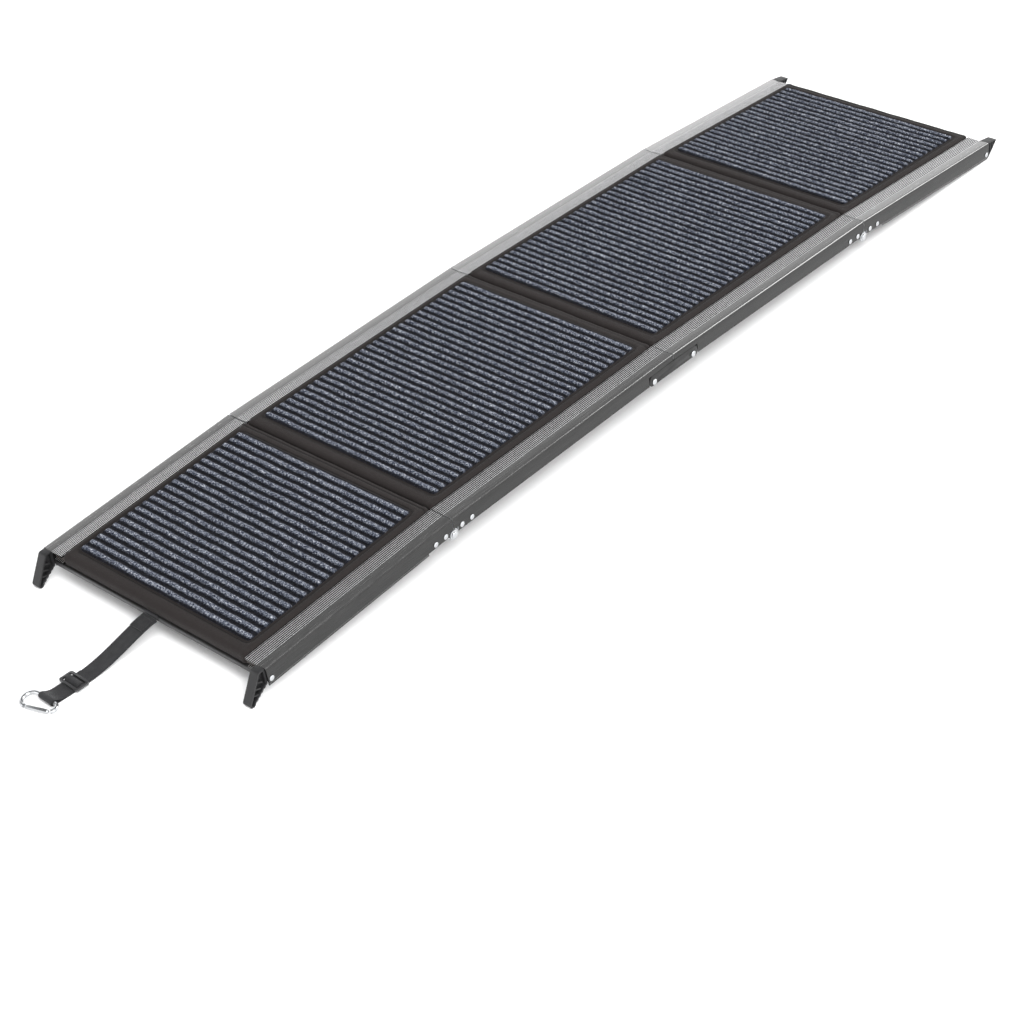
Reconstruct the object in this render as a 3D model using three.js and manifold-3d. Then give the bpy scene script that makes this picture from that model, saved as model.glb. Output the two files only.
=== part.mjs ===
// Folding dog ramp: four carpeted sections between ribbed aluminium rails.
// The two inner sections hang on a centre link that carries the grip, the two outer
// sections fold underneath them on hinges below the rails. It stands unfolded on the
// floor, +X along the ramp, +Z up; the strap end is at -X. All lengths are millimetres.
import * as THREE from 'three';
import { mergeVertices } from 'three/addons/utils/BufferGeometryUtils.js';
import Module from 'manifold-3d';

// ---------------------------------------------------------------- driving dimensions
const INNER_LENGTH = 422;        // sections 2 and 3, seam to seam
const OUTER_LENGTH = 314;        // sections 1 and 4, seam to rail end
const HALF_WIDTH = 200;          // outer face of the rails
const SEAM_GAP = 0.6;            // between the rails of two sections, at their pivots
const FIT = 0.3;                 // clearance between touching pieces
const SPARE = 1;                 // cutters reach this far past what they cut
const LINK_CAMBER = 1.0;         // degrees that each half slopes away from the link
const HINGE_CAMBER = 2.65;       // degrees that an outer section slopes from its neighbour

// rails
const RAIL_SKIN = 2;             // wall thickness
const TOP_SKIN = 2.6;            // thickness of the tread on top
const CHANNEL_WIDTH = 18;        // outer channel, below the plain band
const TREAD_EDGE = 165;          // inner edge of the ribbed tread
const BAND_EDGE = 184;           // where the plain band meets the ribbed tread
const BAND_DIP = 0.8;            // the tread is lowest along that line
const EDGE_RADIUS = 3;           // rounding between top and side
const GROOVES = 7;
const GROOVE_DEPTH = 0.6;
const GROOVE_PHASE = 0.25;       // the rest in parts of the groove pitch
const GROOVE_WIDTH = 0.5;
const GROOVE_SLOPE = 0.1;
const INNER_WALL_DROP = 22.5;    // side wall height, sections 2 and 3
const OUTER_WALL_DROP = 25.6;    // side wall height with its lower lip, sections 1 and 4
const LIP_INSET = 0.5;           // the lower lip stands back from the wall
const LIP_RELIEF = 45;           // the lip ends this far from the hinge
const LEDGE_TOP = -11.3;         // ledge under the deck board
const LEDGE_BOTTOM = -14.1;
const LEDGE_EDGE = 166;

// centre link
const LINK_PIVOT_REACH = 40;     // pivots from the middle of the link
const LINK_PIVOT_DROP = 19.8;    // pivots below the rail top
const LINK_HALF_LENGTH = 49;
const LINK_TOP = -9.3;
const LINK_BOTTOM = -24.8;
const LINK_TOP_RADIUS = 8;
const LINK_BOTTOM_RADIUS = 5;
const LINK_WEB_HALF_LENGTH = 33;
const LINK_WINDOW = 1;           // the rail walls are cut this far around the link
const LINK_SCREW_RADIUS = 2.5;
const LINK_HEAD_RADIUS = 4.2;
const LINK_HEAD_HEIGHT = 1.4;
const LINK_NUT_RADIUS = 4.4;
const LINK_NUT_HEIGHT = 3.6;
const LINK_NUT_CHAMFER = 0.8;
const BLOCK_START = 8;           // pivot block inside the rail, from the seam
const BLOCK_END = 66;
const BLOCK_RADIUS = 2;
const BAR_WIDTH = 27;
const BAR_TOP = -16.4;
const BAR_BOTTOM = -25.4;
const BAR_RADIUS = 2.5;
const GRIP_HALF_LENGTH = 77;
const GRIP_WIDTH = 34;
const GRIP_TOP = -13.2;
const GRIP_BOTTOM = -29;
const GRIP_RADIUS = 7;

// section hinges
const HINGE_PIVOT_DROP = 24.3;   // pivots below the rail top
const EYE_RADIUS = 7;
const EYE_ARC = [160, 330];      // degrees, the leaf leaves the eye at both ends
const LEAF_THICKNESS = 2;
const LEAF_LENGTH = 40;
const LEAF_NECK = 14;            // full height of the leaf from here
const LEAF_SHOULDER = 2;
const LEAF_LOW = 3;              // leaf edges above the pivot
const LEAF_HIGH = 13;
const EYE_NOTCH = 8;             // the walls are cut back around the eye
const RIVET_DROP = 17;           // rivet line below the rail top
const HINGE_RIVETS = [14.5, 32]; // from the seam
const RIVET_RADIUS = 2;
const RIVET_HEAD_RADIUS = 3.6;
const RIVET_HEAD_HEIGHT = 1.2;
const RIVET_SHANK = 5;
const PIN_RADIUS = 2.5;
const PIN_TAIL_RADIUS = 4.4;
const PIN_TAIL = 1.2;
const PIN_WASHER_RADIUS = 6.6;
const PIN_WASHER = 1.3;
const PIN_HEAD_RADIUS = 4.6;
const PIN_HEAD = 1.3;
const PIN_CROWN_RADIUS = 3.4;
const PIN_CROWN = 0.8;

// decks
const BOARD_HALF_WIDTH = 181.4;
const BOARD_TOP = -2.9;
const BOARD_BOTTOM = -10.8;
const BOARD_END = 2.6;           // from the section end
const COVER_HALF_WIDTH = 163.5;
const COVER_TOP = 3;
const COVER_BOTTOM = -12.4;
const COVER_END = 0.8;
const COVER_RADIUS = 5;
const CARPET_HALF_WIDTH = 151.5;
const CARPET_TOP = 6.2;
const CARPET_END = 19.5;         // fabric border left at each end
const CARPET_RADIUS = 5;

// end pieces
const CROSS_BAR_TOP = -14.4;
const CROSS_BAR_BOTTOM = -18.4;
const CROSS_BAR_WIDTH = 20;
const CROSS_BAR_INSET = 0.5;     // from the rail end
const CROSS_BAR_RADIUS = 1;
const CAP_RIVET_INSET = 5;       // from the rail end
const PLUG_LENGTH = 22;
const PLUG_BOTTOM = -21.5;
const FOOT_CROWN = 11;           // top of the foot beyond the rail end
const FOOT_REACH = 31;           // toe beyond the rail end
const FOOT_DROP = 40;            // toe below the rail top
const FOOT_SKIN = 3;
const FOOT_POCKETS = 4;
const POCKET_SHARE = 0.72;       // of the pitch, the rest is rib
const POCKET_WEB = 2.4;          // middle wall between the pockets of the two sides
const POCKET_REAR = 1.5;         // wall left behind a pocket
const POCKET_DEPTH = 7;
const TOE_RADIUS = 4;
const TOE_END = -150;            // degrees, the toe is rounded this far under
const LIP_REACH = 24;            // tip of the far lip beyond the rail end
const LIP_DROP = 26.4;           // underside of the far lip below the rail top
const LIP_FALL = 3;              // the lip's top falls this much to its tip
const LIP_TIP_RADIUS = 1.6;
const LIP_HEEL = 4;              // flat length under the rail end
const LIP_HEEL_RADIUS = 2;
const LIP_SLANT = -55;           // degrees, direction that its ground face looks in
const LIP_SKIN = 2.5;
const LIP_POCKETS = 3;
const LIP_POCKET_PITCH = 6.2;
const LIP_POCKET_LENGTH = 4.2;
const LIP_FLOOR = 3.2;

// strap: webbing, slider and snap hook
const STRAP_WIDTH = 25;
const WEBBING = 1.3;
const STRAP_OFFSET = 3;          // sideways from the middle of the bar
const STRAP_TURN = 2.4;          // degrees that the strap lies off the ramp's axis
const STRAP_START = 2.2;         // webbing clear of the bar's front edge
// side view of the webbing's middle line: [out from the rail end, height above the floor]
const STRAP_ROUTE = [
  [2.2, 22.6], [6, 22.3], [14, 21.0], [24, 18.8], [36, 15.7], [48, 12.3], [60, 9.0],
  [72, 6.1], [84, 3.8], [95, 2.2], [105, 1.4], [115, 1.15], [128, 1.15], [138, 1.2], [148, 1.5],
];
const STITCHED_LENGTH = 26;      // doubled webbing next to the bar
const TAIL_SHARE = 0.85;         // half thickness of the doubled webbing behind the slider
const ANCHOR_TOP = 1.1;          // webbing over the bar, flattened by the carpet's edge
const ANCHOR_RADIUS = 1.8;
const LOOP_MIDDLE = [160, 4.8];  // where the snap hook's spine passes
const LOOP_RADIUS = 4.4;
const LOOP_HOLE = 3.1;
const LOOP_ARC = [-120, 140];    // degrees
const SLIDER_MIDDLE = 121;
const SLIDER_LENGTH = 20;
const SLIDER_WIDTH = 35;
const SLIDER_THICKNESS = 2.8;
const SLIDER_BAR = 3;
const SLIDER_RADIUS = 3;
const SLOT_RADIUS = 1;
const HOOK_WIRE = 2.7;           // wire radius
const HOOK_BIG_RADIUS = 12;      // middle line of the wide end
const HOOK_SMALL_RADIUS = 7;
const HOOK_SPAN = 31;            // between the centres of the two ends
const HOOK_MOUTH = 12;           // degrees, where the wide end stops above the gate
const HOOK_EAR = 325;            // degrees, where the narrow end stops below the gate
const HOOK_STEPS = 40;
const HOOK_TILT = 4;             // degrees, the spine rests on the webbing
const GATE_RADIUS = 2.3;
const GATE_GAP = 0.6;
const GATE_MIDDLE = 0.49;        // of the way from its pivot to the wide end

// ---------------------------------------------------------------- materials
const paint = (color, roughness, metalness) =>
  new THREE.MeshStandardMaterial({ color, roughness, metalness });
const MATERIALS = {
  rail: paint(0x4c4c4b, 0.42, 0.7),
  link: paint(0x3a3a3a, 0.45, 0.6),
  zinc: paint(0xd5d8da, 0.3, 0.9),
  plastic: paint(0x2f2f30, 0.6, 0.0),
  board: paint(0x2a2826, 0.8, 0.0),
  fabric: paint(0x2b2625, 0.9, 0.0),
  carpet: paint(0x4a5568, 0.95, 0.0),
  webbing: paint(0x242424, 0.8, 0.0),
  foam: paint(0x1b1b1b, 0.9, 0.0),
};

// ---------------------------------------------------------------- solids
const wasm = await Module();
wasm.setup();

function toSolid(geometry) {
  const bare = geometry.clone();
  bare.deleteAttribute('normal');
  bare.deleteAttribute('uv');
  const merged = mergeVertices(bare, 1e-4);
  return new wasm.Manifold(new wasm.Mesh({
    numProp: 3,
    vertProperties: new Float32Array(merged.attributes.position.array),
    triVerts: new Uint32Array(merged.index.array),
  }));
}

function toGeometry(solid) {
  const mesh = solid.getMesh();
  const geometry = new THREE.BufferGeometry();
  geometry.setAttribute('position', new THREE.BufferAttribute(mesh.vertProperties, 3));
  geometry.setIndex(new THREE.BufferAttribute(mesh.triVerts, 1));
  geometry.computeVertexNormals();
  return geometry;
}

const join = (first, ...others) =>
  toGeometry(others.reduce((sum, next) => sum.add(toSolid(next)), toSolid(first)));
const cut = (base, ...tools) =>
  toGeometry(tools.reduce((rest, tool) => rest.subtract(toSolid(tool)), toSolid(base)));

const radians = THREE.MathUtils.degToRad;
const ROUND_SIDES = 16;
const ALONG_X = new THREE.Matrix4().makeBasis(
  new THREE.Vector3(0, 1, 0), new THREE.Vector3(0, 0, 1), new THREE.Vector3(1, 0, 0));
const ALONG_Y = new THREE.Matrix4().makeBasis(
  new THREE.Vector3(1, 0, 0), new THREE.Vector3(0, 0, 1), new THREE.Vector3(0, -1, 0));

function extrude(shape, depth) {
  return new THREE.ExtrudeGeometry(shape, { depth, bevelEnabled: false, curveSegments: 6 });
}

// an outline drawn in (y, z), from one x to another
function lengthwise(shape, from, to) {
  return extrude(shape, to - from).applyMatrix4(ALONG_X).translate(from, 0, 0);
}

// an outline drawn in (x, z), from one y to another, in either order
function crosswise(shape, from, to) {
  const high = Math.max(from, to);
  return extrude(shape, Math.abs(to - from)).applyMatrix4(ALONG_Y).translate(0, high, 0);
}

// an outline drawn in (x, y), from one z to another
function upright(shape, from, to) {
  return extrude(shape, to - from).translate(0, 0, from);
}

function box(x0, x1, y0, y1, z0, z1) {
  const geometry = new THREE.BoxGeometry(Math.abs(x1 - x0), Math.abs(y1 - y0), Math.abs(z1 - z0));
  return geometry.translate((x0 + x1) / 2, (y0 + y1) / 2, (z0 + z1) / 2);
}

// a round bar across the ramp
function roundBar(radius, x, z, from, to) {
  const geometry = new THREE.CylinderGeometry(radius, radius, Math.abs(to - from), ROUND_SIDES);
  return geometry.translate(x, (from + to) / 2, z);
}

function outline(points) {
  return new THREE.Shape(points.map(([a, b]) => new THREE.Vector2(a, b)));
}

// points on an arc, angles in degrees
function arc(x, y, radius, start, end, steps = 4) {
  return Array.from({ length: steps + 1 }, (_, i) => {
    const angle = radians(start + ((end - start) * i) / steps);
    return [x + radius * Math.cos(angle), y + radius * Math.sin(angle)];
  });
}

function roundHole(x, y, radius) {
  return outline(arc(x, y, radius, 0, 360, ROUND_SIDES).slice(1));
}

function roundedRectangle(x0, x1, y0, y1, low, high = low) {
  return outline([
    ...arc(x1 - low, y0 + low, low, -90, 0),
    ...arc(x1 - high, y1 - high, high, 0, 90),
    ...arc(x0 + high, y1 - high, high, 90, 180),
    ...arc(x0 + low, y0 + low, low, 180, 270),
  ]);
}

function piece(name, geometry, material) {
  const mesh = new THREE.Mesh(geometry, MATERIALS[material].clone());
  mesh.name = name;
  return mesh;
}

// ---------------------------------------------------------------- rails
// Section coordinates: x from the seam nearer the link, y across, z up from the rail top.
const CHANNEL_INSIDE = HALF_WIDTH - CHANNEL_WIDTH;
const CHANNEL_TOP = -TOP_SKIN - BAND_DIP - FIT;
const PLUG_SIDES = [CHANNEL_INSIDE + RAIL_SKIN + 2 * FIT, HALF_WIDTH - RAIL_SKIN - 2 * FIT];

function treadPoints() {
  const pitch = (BAND_EDGE - TREAD_EDGE) / GROOVES;
  const points = [];
  for (let i = 0; i < GROOVES; i++) {
    const start = BAND_EDGE - pitch * (i + GROOVE_PHASE);
    const stop = start - pitch * GROOVE_WIDTH;
    const slope = pitch * GROOVE_SLOPE;
    const level = -BAND_DIP * (1 - (i + 1 / 2) / GROOVES);
    const low = level - GROOVE_DEPTH;
    points.push([start, level], [start - slope, low], [stop + slope, low], [stop, level]);
  }
  return points;
}

function railOutline(side, wallDrop) {
  const skin = HALF_WIDTH - RAIL_SKIN;
  const lip = wallDrop > INNER_WALL_DROP ? LIP_INSET : 0;
  const points = [
    [skin, -TOP_SKIN - BAND_DIP], [skin, -wallDrop], [HALF_WIDTH - lip, -wallDrop],
    [HALF_WIDTH - lip, -INNER_WALL_DROP], [HALF_WIDTH, -INNER_WALL_DROP + lip],
    ...arc(HALF_WIDTH - EDGE_RADIUS, -EDGE_RADIUS, EDGE_RADIUS, 0, 90),
    [BAND_EDGE, -BAND_DIP], ...treadPoints(), [TREAD_EDGE, 0], [TREAD_EDGE, -TOP_SKIN],
    [CHANNEL_INSIDE, -TOP_SKIN], [CHANNEL_INSIDE, LEDGE_TOP], [LEDGE_EDGE, LEDGE_TOP],
    [LEDGE_EDGE, LEDGE_BOTTOM], [CHANNEL_INSIDE, LEDGE_BOTTOM],
    [CHANNEL_INSIDE, -INNER_WALL_DROP], [CHANNEL_INSIDE + RAIL_SKIN, -INNER_WALL_DROP],
    [CHANNEL_INSIDE + RAIL_SKIN, -TOP_SKIN - BAND_DIP],
  ];
  return outline(points.map(([y, z]) => [side * y, z]));
}

// a window through the side wall only
function wallWindow(side, x0, x1, z1) {
  const beyond = 2 * HALF_WIDTH;
  return box(x0, x1, side * (HALF_WIDTH - RAIL_SKIN - FIT), side * beyond, -beyond, z1);
}

function wallHole(side, x) {
  const through = HALF_WIDTH + RAIL_SKIN;
  const inside = through - 3 * RAIL_SKIN;
  return roundBar(RIVET_RADIUS + FIT, x, -RIVET_DROP, side * inside, side * through);
}

function innerRail(side) {
  const rail = lengthwise(railOutline(side, INNER_WALL_DROP), SEAM_GAP / 2,
    INNER_LENGTH - SEAM_GAP / 2);
  const linkWindow = box(-SPARE, LINK_HALF_LENGTH + LINK_WINDOW, side * (CHANNEL_INSIDE - FIT),
    side * 2 * HALF_WIDTH, -2 * HALF_WIDTH, LINK_TOP + LINK_WINDOW / 2);
  const eyeTop = EYE_NOTCH - HINGE_PIVOT_DROP;
  return cut(rail, linkWindow,
    wallWindow(side, INNER_LENGTH - EYE_NOTCH, INNER_LENGTH + SPARE, eyeTop),
    ...HINGE_RIVETS.map((x) => wallHole(side, INNER_LENGTH - x)));
}

function outerRail(side) {
  const rail = lengthwise(railOutline(side, OUTER_WALL_DROP), SEAM_GAP / 2, OUTER_LENGTH);
  return cut(rail,
    wallWindow(side, -SPARE, EYE_NOTCH, EYE_NOTCH - HINGE_PIVOT_DROP),
    wallWindow(side, -SPARE, LIP_RELIEF, -INNER_WALL_DROP),
    ...HINGE_RIVETS.map((x) => wallHole(side, x)),
    wallHole(side, OUTER_LENGTH - CAP_RIVET_INSET));
}

// ---------------------------------------------------------------- decks
function board(length) {
  return box(BOARD_END, length - BOARD_END, -BOARD_HALF_WIDTH, BOARD_HALF_WIDTH,
    BOARD_BOTTOM, BOARD_TOP);
}

// fabric sleeve, drawn around the board and open at its sides
function cover(length) {
  const shape = roundedRectangle(COVER_END, length - COVER_END, COVER_BOTTOM, COVER_TOP,
    COVER_RADIUS / 2, COVER_RADIUS);
  const [x0, x1] = [BOARD_END - FIT, length - BOARD_END + FIT];
  const [z0, z1] = [BOARD_BOTTOM - FIT, BOARD_TOP + FIT];
  shape.holes.push(outline([[x0, z0], [x1, z0], [x1, z1], [x0, z1]]));
  return crosswise(shape, -COVER_HALF_WIDTH, COVER_HALF_WIDTH);
}

function carpet(length) {
  const shape = roundedRectangle(CARPET_END, length - CARPET_END,
    -CARPET_HALF_WIDTH, CARPET_HALF_WIDTH, CARPET_RADIUS);
  return upright(shape, COVER_TOP + FIT, CARPET_TOP);
}

// ---------------------------------------------------------------- hinges
// Drawn around the pivot; way is +1 for the leaf that reaches outwards, -1 inwards.
function leaf(side, way) {
  const shape = outline([
    ...arc(0, 0, EYE_RADIUS, ...EYE_ARC, 10), [LEAF_NECK, LEAF_LOW], [LEAF_LENGTH, LEAF_LOW],
    [LEAF_LENGTH, LEAF_HIGH], [LEAF_SHOULDER, LEAF_HIGH],
  ].map(([x, z]) => [way * x, z]));
  const wallInside = HALF_WIDTH - RAIL_SKIN - FIT;
  const layer = way > 0 ? 0 : LEAF_THICKNESS + FIT;
  const outside = wallInside - layer;
  const plate = crosswise(shape, side * outside, side * (outside - LEAF_THICKNESS));
  const rivetZ = HINGE_PIVOT_DROP - RIVET_DROP;
  const rivetEnds = [side * (outside - SPARE), side * (HALF_WIDTH + RIVET_HEAD_HEIGHT - FIT)];
  const rivets = HINGE_RIVETS.flatMap((x) => [
    roundBar(RIVET_RADIUS, way * x, rivetZ, ...rivetEnds),
    rivetHead(side, way * x, rivetZ),
  ]);
  const packing = box(way * (EYE_RADIUS + SPARE), way * LEAF_LENGTH,
    side * (outside - SPARE), side * wallInside, LEAF_LOW, LEAF_HIGH);
  const drilled = cut(plate, roundBar(PIN_RADIUS + FIT, 0, 0, 0, side * 2 * HALF_WIDTH));
  return join(drilled, packing, ...rivets);
}

// a low domed head, [radius, height] pairs up from its underside
const HEAD_PROFILE = [
  [RIVET_HEAD_RADIUS, 0], [RIVET_HEAD_RADIUS, 0.4 * RIVET_HEAD_HEIGHT],
  [0.7 * RIVET_HEAD_RADIUS, RIVET_HEAD_HEIGHT], [0, RIVET_HEAD_HEIGHT],
];

// just outside the wall
function rivetHead(side, x, z) {
  return turned([[0, 0], ...HEAD_PROFILE], side, x, HALF_WIDTH + FIT, z);
}

// a turned profile [radius, height] standing outwards from the side face
function turned(profile, side, x, y, z) {
  const points = profile.map(([radius, height]) => new THREE.Vector2(radius, height));
  const geometry = new THREE.LatheGeometry(points, ROUND_SIDES);
  if (side < 0) geometry.rotateX(Math.PI);
  return geometry.translate(x, side * y, z);
}

function hingePin(side) {
  const washer = HALF_WIDTH - RAIL_SKIN + FIT;
  const inner = -2 * LEAF_THICKNESS - 4 * FIT;
  const head = PIN_WASHER + PIN_HEAD;
  const profile = [
    [0, inner - PIN_TAIL], [PIN_TAIL_RADIUS, inner - PIN_TAIL], [PIN_TAIL_RADIUS, inner],
    [PIN_RADIUS, inner], [PIN_RADIUS, 0], [PIN_WASHER_RADIUS, 0], [PIN_WASHER_RADIUS, PIN_WASHER],
    [PIN_HEAD_RADIUS, PIN_WASHER], [PIN_HEAD_RADIUS, head], [PIN_CROWN_RADIUS, head + PIN_CROWN],
    [0, head + PIN_CROWN],
  ];
  return turned(profile, side, 0, washer, 0);
}

// ---------------------------------------------------------------- centre link
function linkBracket(side) {
  const shape = roundedRectangle(-LINK_HALF_LENGTH, LINK_HALF_LENGTH, LINK_BOTTOM, LINK_TOP,
    LINK_BOTTOM_RADIUS, LINK_TOP_RADIUS);
  for (const way of [-1, 1]) {
    shape.holes.push(roundHole(way * LINK_PIVOT_REACH, -LINK_PIVOT_DROP, LINK_SCREW_RADIUS + FIT));
  }
  const outside = crosswise(shape, side * HALF_WIDTH, side * (HALF_WIDTH - RAIL_SKIN));
  const inside = crosswise(shape, side * CHANNEL_INSIDE, side * (CHANNEL_INSIDE + RAIL_SKIN));
  const web = box(-LINK_WEB_HALF_LENGTH, LINK_WEB_HALF_LENGTH,
    side * CHANNEL_INSIDE, side * HALF_WIDTH, LINK_BOTTOM, LINK_BOTTOM + RAIL_SKIN - FIT);
  return join(outside, inside, web);
}

function linkScrew(side, way) {
  const inner = -CHANNEL_WIDTH - 2 * FIT;
  const tail = inner - LINK_NUT_HEIGHT;
  const profile = [
    [0, tail], [LINK_NUT_RADIUS - LINK_NUT_CHAMFER, tail], [LINK_NUT_RADIUS, tail + LINK_NUT_CHAMFER],
    [LINK_NUT_RADIUS, inner], [LINK_SCREW_RADIUS, inner], [LINK_SCREW_RADIUS, 0],
    [LINK_HEAD_RADIUS, 0], [LINK_HEAD_RADIUS, LINK_HEAD_HEIGHT / 2],
    [0.6 * LINK_HEAD_RADIUS, LINK_HEAD_HEIGHT], [0, LINK_HEAD_HEIGHT],
  ];
  return turned(profile, side, way * LINK_PIVOT_REACH, HALF_WIDTH + FIT, -LINK_PIVOT_DROP);
}

function pivotBlock(side) {
  const shape = roundedRectangle(BLOCK_START, BLOCK_END, -INNER_WALL_DROP + FIT, CHANNEL_TOP,
    BLOCK_RADIUS);
  const block = crosswise(shape, side * PLUG_SIDES[0], side * PLUG_SIDES[1]);
  return cut(block, roundBar(LINK_SCREW_RADIUS + FIT, LINK_PIVOT_REACH, -LINK_PIVOT_DROP,
    0, side * 2 * HALF_WIDTH));
}

function handleBar() {
  const shape = roundedRectangle(-BAR_WIDTH / 2, BAR_WIDTH / 2, BAR_BOTTOM, BAR_TOP, BAR_RADIUS);
  const reach = CHANNEL_INSIDE - FIT;
  return crosswise(shape, -reach, reach);
}

function handleGrip() {
  const shape = roundedRectangle(-GRIP_WIDTH / 2, GRIP_WIDTH / 2, GRIP_BOTTOM, GRIP_TOP,
    GRIP_RADIUS);
  shape.holes.push(roundedRectangle(-BAR_WIDTH / 2 - FIT, BAR_WIDTH / 2 + FIT,
    BAR_BOTTOM - FIT, BAR_TOP + FIT, BAR_RADIUS));
  return crosswise(shape, -GRIP_HALF_LENGTH, GRIP_HALF_LENGTH);
}

// ---------------------------------------------------------------- end pieces
function plug(side) {
  const block = box(OUTER_LENGTH - PLUG_LENGTH, OUTER_LENGTH + SPARE,
    side * PLUG_SIDES[0], side * PLUG_SIDES[1], PLUG_BOTTOM, CHANNEL_TOP);
  return cut(block, roundBar(RIVET_RADIUS + FIT, OUTER_LENGTH - CAP_RIVET_INSET, -RIVET_DROP,
    side * (PLUG_SIDES[1] - RIVET_SHANK), side * 2 * HALF_WIDTH));
}

// pockets are open to both sides, down to the middle wall
function pocketDepths(side) {
  const middle = (PLUG_SIDES[0] + PLUG_SIDES[1]) / 2;
  return [
    [side * (PLUG_SIDES[0] - SPARE), side * (middle - POCKET_WEB / 2)],
    [side * (middle + POCKET_WEB / 2), side * (PLUG_SIDES[1] + SPARE)],
  ];
}

// a claw that hooks over a sill: slanted front plate with open ribbed pockets behind it
function foot(side) {
  const end = OUTER_LENGTH + FIT;
  const toeX = end + FOOT_REACH - TOE_RADIUS;
  const toeZ = -FOOT_DROP + TOE_RADIUS;
  const crownX = end + FOOT_CROWN - TOE_RADIUS;
  const crownZ = -FIT - TOE_RADIUS;
  const slant = THREE.MathUtils.radToDeg(Math.atan2(toeX - crownX, crownZ - toeZ));
  const body = crosswise(outline([
    [end, -INNER_WALL_DROP], [end, -FIT], ...arc(crownX, crownZ, TOE_RADIUS, 90, slant),
    ...arc(toeX, toeZ, TOE_RADIUS, slant, TOE_END, 6),
  ]), side * PLUG_SIDES[0], side * PLUG_SIDES[1]);
  return join(cut(body, ...footPockets(side, end, toeX, toeZ)), plug(side));
}

function footPockets(side, end, toeX, toeZ) {
  const front = (t) => [
    THREE.MathUtils.lerp(end + FOOT_CROWN - FOOT_SKIN, toeX, t),
    THREE.MathUtils.lerp(-FOOT_SKIN, toeZ, t),
  ];
  const back = (t) => [
    THREE.MathUtils.lerp(end + POCKET_REAR, toeX - 2 * TOE_RADIUS, t),
    THREE.MathUtils.lerp(-FOOT_SKIN - POCKET_DEPTH, toeZ - TOE_RADIUS, t),
  ];
  return Array.from({ length: FOOT_POCKETS }, (_, i) => {
    const start = i / FOOT_POCKETS;
    const stop = (i + POCKET_SHARE) / FOOT_POCKETS;
    const shape = outline([front(start), front(stop), back(stop), back(start)]);
    return pocketDepths(side).map((depth) => crosswise(shape, ...depth));
  }).flat();
}

// a wedge that lies on the ground, with upright ribs under its top plate
function lip(side) {
  const end = OUTER_LENGTH + FIT;
  const tip = end + LIP_REACH;
  const heel = (from, to) => arc(end + LIP_HEEL, -LIP_DROP + LIP_HEEL_RADIUS, LIP_HEEL_RADIUS,
    from, to, 2);
  const point = arc(tip - LIP_TIP_RADIUS, -LIP_FALL - LIP_TIP_RADIUS, LIP_TIP_RADIUS, 80, LIP_SLANT, 3);
  const body = crosswise(outline([
    [end, -LIP_DROP], [end, -FIT], ...point, ...heel(LIP_SLANT, -90),
  ]), side * PLUG_SIDES[0], side * PLUG_SIDES[1]);
  const pockets = Array.from({ length: LIP_POCKETS }, (_, i) => {
    const start = end + LIP_HEEL_RADIUS + LIP_POCKET_PITCH * i;
    return pocketDepths(side).map((depth) => box(start, start + LIP_POCKET_LENGTH, ...depth,
      -2 * LIP_DROP, -LIP_FALL - LIP_SKIN));
  }).flat();
  const [pointX, pointZ] = point.at(-1);
  const floorTop = -LIP_DROP + LIP_FLOOR;
  const floor = crosswise(outline([
    [end, -LIP_DROP], ...heel(-90, LIP_SLANT), [pointX, pointZ], [pointX - LIP_SKIN, pointZ],
    [end + LIP_HEEL_RADIUS, floorTop], [end, floorTop],
  ]), side * PLUG_SIDES[0], side * PLUG_SIDES[1]);
  return join(cut(body, ...pockets), floor, plug(side));
}

function capRivet(side) {
  const profile = [[0, -RIVET_SHANK], [RIVET_RADIUS, -RIVET_SHANK], [RIVET_RADIUS, 0], ...HEAD_PROFILE];
  return turned(profile, side, OUTER_LENGTH - CAP_RIVET_INSET, HALF_WIDTH + FIT, -RIVET_DROP);
}

const CROSS_BAR_FRONT = OUTER_LENGTH - CROSS_BAR_INSET;
const CROSS_BAR_BACK = CROSS_BAR_FRONT - CROSS_BAR_WIDTH;

function crossBar() {
  const reach = CHANNEL_INSIDE - FIT;
  const shape = roundedRectangle(CROSS_BAR_BACK, CROSS_BAR_FRONT, CROSS_BAR_BOTTOM, CROSS_BAR_TOP,
    CROSS_BAR_RADIUS);
  return crosswise(shape, -reach, reach);
}

// a band of webbing sewn around the cross bar
function strapAnchor(y) {
  const [back, front] = [CROSS_BAR_BACK - FIT, CROSS_BAR_FRONT + FIT];
  const [low, high] = [CROSS_BAR_BOTTOM - FIT, CROSS_BAR_TOP + FIT];
  const shape = roundedRectangle(back - WEBBING, front + WEBBING, low - WEBBING, high + ANCHOR_TOP,
    ANCHOR_RADIUS);
  shape.holes.push(roundedRectangle(back, front, low, high, CROSS_BAR_RADIUS));
  return crosswise(shape, y - STRAP_WIDTH / 2, y + STRAP_WIDTH / 2);
}

// ---------------------------------------------------------------- strap
// Strap coordinates: x outwards from the rail end, y across, z up from the floor.
function offsetLine(points, distance) {
  return points.map(([x, z], i) => {
    const before = points[Math.max(i - 1, 0)];
    const after = points[Math.min(i + 1, points.length - 1)];
    const length = Math.hypot(after[0] - before[0], after[1] - before[1]);
    const normal = [-(after[1] - before[1]) / length, (after[0] - before[0]) / length];
    return [x + normal[0] * distance, z + normal[1] * distance];
  });
}

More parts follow.
